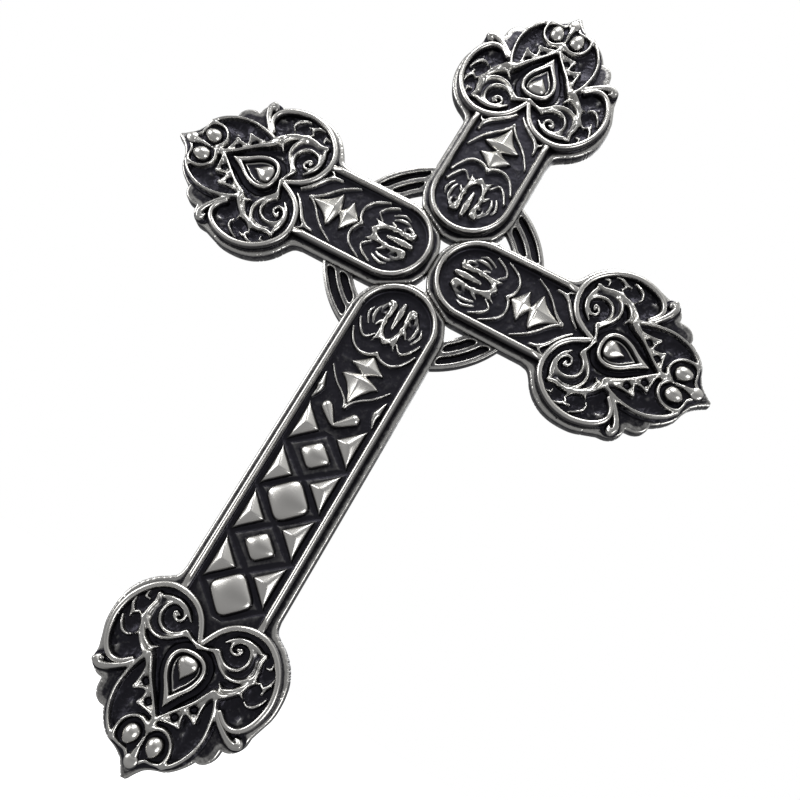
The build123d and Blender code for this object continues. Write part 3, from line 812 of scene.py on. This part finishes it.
def half_lozenge_heights(x, y):
    edge, sides, base = half_lozenge_field(x, y)
    melt = 1.3
    ridge = -melt * np.log(np.exp(-sides / melt) + np.exp(-1.15 * base / melt))
    side = 1.3 * (1 - np.exp(-np.clip(edge, 0, 9) / 0.5))
    return PANEL_GROUND + 0.3 + side + 0.75 * np.clip(ridge, 0, 9) ** 0.85


DROP_LINE = np.array([(0.4, 97.0), (3.6, 94), (7.3, 90.2)])


def drop_across(x, y):
    """The distance from the nearer drop's line, and the drop's half width there."""
    d, t = line_distance(DROP_LINE, np.abs(x), y)
    return d, 1.1 + 1.8 * t**0.7


def drop_inside(x, y):
    d, width = drop_across(x, y)
    return width - d


def drop_heights(x, y):
    d, width = drop_across(x, y)
    return PANEL_GROUND + 0.7 + 3.0 * np.sqrt(np.clip(1 - (d / width) ** 2, 0, 1))


def polished_by(inside, foot):
    """Bright all over, with a dark foot: patina where the piece meets the ground, and painted shade down its
    falling sides.
    """

    def polish(x, y, h):
        return 0.2 + 0.8 * ease(0.0, foot, inside(x, y))

    return polish


# ------------------------------------------------------------------ the flanged cases
CASE_ROUND = 1.05  # the side stands this much further out than the flat front
CASE_GRIT = 0.12
TIP_FALL = 10  # over this length the flange falls by a millimetre to the tip
TIP_CLEARANCE = 0.05  # keeps the tips within the CAD model's box
SEAM = 0.12  # half the gap between neighbouring cases


def case_inside(arm):
    shift, cap = shift_of(arm), cap_of(arm)
    other = UPRIGHT_CAP if cap == SIDE_CAP else SIDE_CAP
    finial = FLANGE_HALF + [0, shift]
    outline = mirrored(np.vstack([finial, [(ARM_HALF, cap), (0, cap)]]))
    normal = np.array([other, -cap]) / np.hypot(other, cap)

    def inside(x, y):
        finial_part = inside_distance(outline, x, y)
        d = np.maximum(finial_part, np.minimum(stadium(x, y, ARM_HALF, cap), FINIAL_START + shift - y))
        seam = -((np.abs(x) - other / 2) * normal[0] + (y - cap / 2) * normal[1])
        d = np.minimum(d, seam - SEAM)
        if cap == SIDE_CAP:
            d = np.minimum(d, y - SEAM)
        return d - CASE_ROUND

    return inside


def case_heights(arm):
    """Flat, with slight waviness, and falling away towards the tip."""
    tip = REACH[arm]

    def heights(x, y):
        return FLANGE_TOP - ease(tip - TIP_FALL, tip, y) + grit(x, y, CASE_GRIT)

    return heights


def case_polish(arm, inside):
    """Bright at the worn edge, black and speckled towards the raised relief."""
    cap, shift = cap_of(arm), shift_of(arm)

    def polish(x, y, h):
        edge = inside(x, y)
        panel = stadium(x, y, PANEL_HALF, cap) - 100 * (y > PANEL_END + shift)
        relief = np.maximum(panel, relief_inside(x, y - shift))
        bright = ease(1.2, 0.2, edge - 1.4 * ease(FINIAL_START, FINIAL_START + 10, y - shift))
        bright = bright * (1 - 0.35 * ease(100, 125, y - shift))
        return np.maximum(bright, 0.16) * ease(0.3, -0.9, relief) - 0.15 * ease(-1.2, 0, relief)

    return polish


# The rows down the case's side, as casting() takes them. Below the bright worn edge the dark rows are partly
# patina, partly painted shade on the deep side wall.
CASE_WALL = [
    (0.4, -0.10, 1.0), (0.75, -0.33, 1.0), (0.97, -0.7, 0.8), (CASE_ROUND, -1.15, 0.3),
    (0.92, -1.5, -0.2), (0.9, -1.8, -0.2), (1.02, -2.2, 0.22), (CASE_ROUND, 3.9, 0.26),
    (CASE_ROUND, 2.6, 0.38), (1.0, 1.4, 0.6), (0.8, 0.8, 0.8), (0.4, 0.42, 0.7), (-1.2, CASE_BACK, 0.4),
]

# ------------------------------------------------------------------ the ring's quadrants
# The ring's wall from the front down: inwards, below the front, polish. The dark middle rows are partly
# patina, partly painted shade on the deep wall.
RING_WALL = [
    (0.3, -0.12, 1), (0.08, -0.4, 0.8), (0, -0.9, 0.3), (0.15, -1.3, -0.2), (0, -1.9, 0.15), (0, -3.6, 0.1),
    (0, -4.9, 0.3), (0.15, -5.5, 0.8), (0.6, -5.9, 0.5),
]
RING_SLOT_DEPTH = 3.7


def ring_mesh():
    """One quadrant between +x and +y, with two blind slots that stop short of the arms."""
    inner = RING_RADIUS - RING_WIDTH
    slots = [RING_RADIUS - RING_RAIL - GROOVE_HALF, RING_RADIUS - 2 * RING_RAIL - 3 * GROOVE_HALF]
    across = np.linspace(inner + 0.7, RING_RADIUS - 0.7, 66)
    front = [(u, None) for u in across]
    outer_wall = [(RING_RADIUS - inwards, drop) for inwards, drop, _ in RING_WALL]
    inner_wall = [(inner + inwards, drop) for inwards, drop, _ in RING_WALL[::-1]]
    wall_polish_and_shade = [polish for _, _, polish in RING_WALL]
    profile = front + outer_wall + inner_wall
    wall_shade = [None] * len(front) + wall_polish_and_shade + wall_polish_and_shade[::-1]
    stations = 150
    points, shades = [], []
    for j in range(stations):
        for (u, drop), fixed in zip(profile, wall_shade):
            start = np.arcsin((ARM_HALF - 1.0) / u)
            angle = start + (pi / 2 - 2 * start) * j / (stations - 1)
            x, y = u * cos(angle), u * sin(angle)
            if drop is not None:
                points.append((x, y, RING_TOP + drop))
                shades.append(fixed)
                continue
            end = min(x, y) - ARM_HALF - 0.9 - GROOVE_HALF
            d = min(np.hypot(u - c, min(end, 0)) for c in slots) - GROOVE_HALF
            cut = float(ease(0.18, -0.3, d))
            rail = float(ease(0.0, 0.75, d))
            edge = min(u - inner, RING_RADIUS - u)
            rounding = 0.28 * (1 - rail) + 0.25 * float(ease(1.2, 0.6, edge))
            points.append((x, y, RING_TOP - rounding - RING_SLOT_DEPTH * cut))
            dulled = 0.4 * float(ease(0.35, 0.8, d)) * float(ease(0.9, 1.4, edge))
            # Painted shade: the slots get no polish, so their floors and walls show black.
            shades.append((1 - cut) * (0.9 - dulled))
    m = len(profile)
    faces = [
        (j * m + k, j * m + (k + 1) % m, (j + 1) * m + (k + 1) % m, (j + 1) * m + k)
        for j in range(stations - 1)
        for k in range(m)
    ]
    faces += [tuple(range(m))[::-1], tuple(range((stations - 1) * m, stations * m))]
    return mesh_of("ring_quadrant", np.array(points), faces, np.array(shades))


# ------------------------------------------------------------------ materials
def silver(name, dark, bright, speckle, rough=(0.40, 0.30, 0.24), floor=0.0):
    """Oxidised silver: the polish attribute, broken up by noise, mixes black patina with bright metal. Where
    a mesh sets its polish low for shade, the black is painted shade.
    """
    material = bpy.data.materials.new(name)
    material.use_nodes = True
    nodes, links = material.node_tree.nodes, material.node_tree.links
    shader = nodes["Principled BSDF"]
    shader.inputs["Metallic"].default_value = 1.0
    geometry = nodes.new("ShaderNodeNewGeometry")
    polish = nodes.new("ShaderNodeAttribute")
    polish.attribute_name = "polish"

    def noise(scale, detail, roughness=0.6):
        node = nodes.new("ShaderNodeTexNoise")
        node.inputs["Scale"].default_value = scale
        node.inputs["Detail"].default_value = detail
        node.inputs["Roughness"].default_value = roughness
        links.new(geometry.outputs["Position"], node.inputs["Vector"])
        return node.outputs["Fac"]

    def maths(operation, *values):
        node = nodes.new("ShaderNodeMath")
        node.operation = operation
        for socket, value in zip(node.inputs, values):
            if isinstance(value, (int, float)):
                socket.default_value = value
            else:
                links.new(value, socket)
        return node.outputs[0]

    def ramp(value, *stops):
        node = nodes.new("ShaderNodeValToRGB")
        elements = node.color_ramp.elements
        while len(elements) < len(stops):
            elements.new(0.5)
        for element, (at, colour) in zip(elements, stops):
            element.position = at
            element.color = (*colour, 1)
        links.new(value, node.inputs["Fac"])
        return node.outputs["Color"]

    coarse = noise(380, 3)
    grain = noise(1000, 2, 0.7)
    wear = maths("MULTIPLY_ADD", coarse, 2 * speckle, maths("MULTIPLY", grain, 1.4 * speckle))
    mask = maths("ADD", polish.outputs["Fac"], maths("SUBTRACT", wear, 1.7 * speckle + floor))
    middle = tuple(0.55 * d + 0.45 * b for d, b in zip(dark, bright))
    low = tuple(0.86 * d + 0.14 * b for d, b in zip(dark, bright))
    colour = ramp(mask, (0.12, dark), (0.36, low), (0.62, middle), (0.88, bright))
    links.new(colour, shader.inputs["Base Color"])
    roughness = ramp(mask, *[(at, (value,) * 3) for at, value in zip((0.1, 0.6, 1.0), rough)])
    links.new(roughness, shader.inputs["Roughness"])
    bump = nodes.new("ShaderNodeBump")
    bump.inputs["Strength"].default_value = 0.14
    bump.inputs["Distance"].default_value = 0.00012
    links.new(maths("MULTIPLY_ADD", grain, 0.5, coarse), bump.inputs["Height"])
    links.new(bump.outputs["Normal"], shader.inputs["Normal"])
    return material


# The patina's dark; on the cases' deep walls and in the ring's slots it also stands for painted shade.
PATINA_AND_PAINTED_SHADE = (0.034, 0.033, 0.041)
SILVER = (0.66, 0.65, 0.62)
relief_silver = silver("relief_silver", PATINA_AND_PAINTED_SHADE, SILVER, 0.17)
polished_silver = silver(
    "polished_silver", (0.05, 0.048, 0.055), (0.74, 0.725, 0.69), 0.05, rough=(0.38, 0.30, 0.27)
)
flange_silver = silver("flange_silver", PATINA_AND_PAINTED_SHADE, SILVER, 0.42)
plain_silver = silver("plain_silver", (0.22, 0.215, 0.21), (0.62, 0.61, 0.585), 0.3, floor=-0.6)
screw_steel = silver("screw_steel", (0.20, 0.20, 0.20), (0.60, 0.60, 0.61), 0.2, floor=-0.7)

# ------------------------------------------------------------------ build
RELIEF_WALL = [
    (0.22, -0.3, 0.25), (0.3, FLANGE_TOP + 0.3, 0.02), (0.34, FLANGE_TOP - 0.3, 0.0),
    (-0.6, FLANGE_TOP - 0.5, 0.0),
]
SMALL_WALL = [(0.1, -0.25, 0.3), (0.18, RELIEF_GROUND - 0.6, 0.0), (-0.2, RELIEF_GROUND - 0.7, 0.0)]
PANEL_WALL = [
    (0.12, -0.3, 0.3), (0.3, 9.0, 0.1), (0.45, FLANGE_TOP - 0.3, 0.0), (-0.6, FLANGE_TOP - 0.5, 0.0),
]
ARM_BEAD_WALL = [(0.05, -0.3, 0.4), (0.05, 9.4, 0.1), (-0.2, 9.3, 0.1)]
STUD_WALL = [(0.12, -0.25, 0.15), (0.2, PANEL_GROUND - 0.7, 0.0), (-0.2, PANEL_GROUND - 0.8, 0.0)]


def polished(name, inside, heights, box, step, wall, foot):
    """A casting that is bright all over, but for a dark foot, partly patina and partly painted shade."""
    return casting(name, inside, heights, box, step, wall, polished_by(inside, foot))


finial = casting("finial_relief", relief_inside, finial_heights, (-43, 43, 67, 148), 0.3, RELIEF_WALL)
teardrop_rim = polished(
    "teardrop_rim", teardrop_rim_inside, teardrop_rim_heights, (-11, 11, 88, 118), 0.22, SMALL_WALL, 0.5
)
boss = polished("teardrop_boss", boss_inside, boss_heights, (-6, 6, 91, 106), 0.22, SMALL_WALL, 1.3)
pearls = polished("pearls", pearls_inside, pearl_heights, (-11, 11, 126, 146), 0.22, SMALL_WALL, 0.7)
heart_rim = polished(
    "heart_rim", heart_rim_inside, heart_rim_heights, (-42, 42, 68, 113), 0.28, SMALL_WALL, 0.6
)
fleur = polished("fleur_boss", fleur_inside, fleur_heights, (-11, 11, 41, 70), 0.24, STUD_WALL, 0.5)

# What every finial carries: CAD node, ending of the piece's name, mesh, material, material slot.
ON_EVERY_FINIAL = [
    ("finial_relief", "casting", finial, relief_silver, "relief_silver"),
    ("teardrop_bezel", "rim", teardrop_rim, polished_silver, "polished_silver"),
    ("teardrop_boss", "drop", boss, polished_silver, "polished_silver"),
    ("pearls", "domes", pearls, polished_silver, "polished_silver"),
    ("heart_rim", "bead", heart_rim, polished_silver, "polished_silver"),
]


def place_on_arm(arm, node, ending, mesh, outward, material, slot):
    place(f"{node}_{arm}_{ending}", mesh, TURN[arm], outward, material, slot, f"{node}_{arm}")


for arm in TURN:
    out = shift_of(arm)
    for node, ending, mesh, material, slot in ON_EVERY_FINIAL:
        place_on_arm(arm, node, ending, mesh, out, material, slot)
    step_out = cap_of(arm) - SIDE_CAP
    place_on_arm(arm, "fleur_boss", "stars", fleur, step_out, polished_silver, "polished_silver")

    tip = REACH[arm] - TIP_CLEARANCE
    inside = case_inside(arm)
    around = (-45, 45, -1, tip + 3)
    polish = case_polish(arm, inside)
    case = casting(f"case_{arm}", inside, case_heights(arm), around, 0.5, CASE_WALL, polish, end=tip)
    place_on_arm(arm, "case", "casting", case, 0, flange_silver, "dark_silver")

    around = (-22, 22, cap_of(arm) - PANEL_HALF - 1, 86 + out)
    panel = casting(f"arm_relief_{arm}", arm_inside(arm), arm_heights(arm), around, 0.3, PANEL_WALL)
    place_on_arm(arm, "arm_relief", "casting", panel, 0, relief_silver, "relief_silver")
    rim = polished(f"arm_rim_{arm}", rim_inside(arm), rim_heights(arm), around, 0.3, ARM_BEAD_WALL, 0.7)
    place_on_arm(arm, "arm_rim", "bead", rim, 0, polished_silver, "polished_silver")

stud_places = [LOZENGE_FIRST + i * LOZENGE_PITCH for i in range(4)]
small = Lozenges(stud_places[0::2], 9.2, 8.2, 5.2, 1.6, 2.0)
large = Lozenges(stud_places[1::2], 12.6, 12.2, 7.6, 1.9, 2.0)
# The foot's studs: piece, CAD node, outline, heights, box, grid step, dark foot.
STUDS = [
    ("small_lozenges", "small_lozenge_studs", small.inside, small.heights, (-9.5, 9.5, 104, 172), 0.26, 1.1),
    ("large_lozenges", "large_lozenge_studs", large.inside, large.heights, (-13, 13, 125, 199), 0.28, 1.2),
    (
        "half_lozenges", "half_lozenge_studs", half_lozenge_inside, half_lozenge_heights,
        (-17, 17, 90, 186), 0.28, 1.3,
    ),
    ("drops", "drop_studs", drop_inside, drop_heights, (-13, 13, 85, 100), 0.22, 0.5),
]
for name, node, inside, heights, around, step, foot in STUDS:
    mesh = polished(name, inside, heights, around, step, STUD_WALL, foot)
    place(name, mesh, TURN["foot"], 0, polished_silver, "polished_silver", node)

ring = ring_mesh()
RING_TURN = {"ring_upper_right": 0, "ring_upper_left": 90, "ring_lower_left": 180, "ring_lower_right": 270}
for node, turn in RING_TURN.items():
    place(f"{node}_rails", ring, turn, 0, flange_silver, "dark_silver", node)

SHOWN_AS_CAD = ("back_plate", "staff_socket", "back_screws", "socket_screws", "staff_set")
for thing in bpy.data.objects:
    if thing.type == "MESH" and thing.name.startswith(SHOWN_AS_CAD):
        screw = "screw" in thing.name
        thing.data.materials.clear()
        thing.data.materials.append(screw_steel if screw else plain_silver)

# ------------------------------------------------------------------ camera, light and floor
CAMERA_FROM_CROSSING = Vector((87.49, -442.47, -184.61))
CAMERA_AIM = Vector((-0.14731, 0.95646, 0.25197))
CAMERA_UP = Vector((-0.46881, -0.29184, 0.83369))

camera_data = bpy.data.cameras.new("camera")
camera_data.lens = 43.2
camera_data.sensor_width = 36
camera_data.clip_start = 0.01
camera = bpy.data.objects.new("camera", camera_data)
bpy.context.scene.collection.objects.link(camera)
camera_right = CAMERA_AIM.cross(CAMERA_UP).normalized()
camera_up = camera_right.cross(CAMERA_AIM).normalized()
turned = Matrix((camera_right, camera_up, -CAMERA_AIM.normalized())).transposed().to_4x4()
crossing = Vector((0, BACK_Y, CROSSING_Z))
camera.matrix_world = Matrix.Translation((crossing + CAMERA_FROM_CROSSING) * MM) @ turned
bpy.context.scene.camera = camera


def softbox(name, direction, distance, size, power):
    """A square area light that looks at the crossing."""
    data = bpy.data.lights.new(name, "AREA")
    data.size = size
    data.energy = power
    light = bpy.data.objects.new(name, data)
    bpy.context.scene.collection.objects.link(light)
    way = Vector(direction).normalized()
    light.location = crossing * MM + way * distance
    light.rotation_euler = way.to_track_quat("Z", "Y").to_euler()


softbox("key", (-0.30, -0.55, 0.78), 1.3, 0.5, 7)
softbox("top", (-0.10, -0.30, 1.0), 1.3, 0.6, 3.5)
softbox("left", (-1.0, -0.6, 0.1), 1.4, 0.7, 7)
softbox("right", (1.0, -0.7, -0.3), 1.5, 0.7, 6)
softbox("behind", (0.3, 1.0, 0.5), 1.6, 0.9, 6)

floor_mesh = bpy.data.meshes.new("floor")
floor_mesh.from_pydata([(-4, -4, 0), (4, -4, 0), (4, 4, 0), (-4, 4, 0)], [], [(0, 1, 2, 3)])
floor = bpy.data.objects.new("floor", floor_mesh)
bpy.context.scene.collection.objects.link(floor)
floor.location.z = (foot_low[2] - 160) * MM
floor.visible_glossy = False
pale = bpy.data.materials.new("pale_floor")
pale.use_nodes = True
pale_shader = pale.node_tree.nodes["Principled BSDF"]
pale_shader.inputs["Base Color"].default_value = (0.9, 0.9, 0.9, 1)
pale_shader.inputs["Roughness"].default_value = 0.9
pale_shader.inputs["Emission Color"].default_value = (1, 1, 1, 1)
pale_shader.inputs["Emission Strength"].default_value = 0.9
floor_mesh.materials.append(pale)

world = bpy.data.worlds.new("studio")
bpy.context.scene.world = world
world.use_nodes = True
sky_nodes, sky_links = world.node_tree.nodes, world.node_tree.links
sky_nodes.clear()
output = sky_nodes.new("ShaderNodeOutputWorld")
choose = sky_nodes.new("ShaderNodeMixShader")
path = sky_nodes.new("ShaderNodeLightPath")
white = sky_nodes.new("ShaderNodeBackground")
room = sky_nodes.new("ShaderNodeBackground")
direction = sky_nodes.new("ShaderNodeTexCoord")
split = sky_nodes.new("ShaderNodeSeparateXYZ")
tone = sky_nodes.new("ShaderNodeMapRange")
shade = sky_nodes.new("ShaderNodeValToRGB")
tone.inputs["From Min"].default_value = -1
sky_links.new(direction.outputs["Generated"], split.inputs[0])
sky_links.new(split.outputs["Z"], tone.inputs["Value"])
sky_links.new(tone.outputs["Result"], shade.inputs["Fac"])
stops = shade.color_ramp.elements
stops[0].position, stops[0].color = 0.0, (0.26, 0.26, 0.265, 1)
stops[1].position, stops[1].color = 1.0, (0.60, 0.60, 0.59, 1)
for position, value in [(0.32, 0.34), (0.50, 0.26), (0.62, 0.26), (0.80, 0.46)]:
    stop = stops.new(position)
    stop.color = (value, value, value * 1.02, 1)
sky_links.new(shade.outputs["Color"], room.inputs["Color"])
white.inputs["Color"].default_value = (1, 1, 1, 1)
sky_links.new(path.outputs["Is Camera Ray"], choose.inputs["Fac"])
sky_links.new(room.outputs[0], choose.inputs[1])
sky_links.new(white.outputs[0], choose.inputs[2])
sky_links.new(choose.outputs[0], output.inputs["Surface"])
bpy.context.scene.view_settings.view_transform = "Standard"
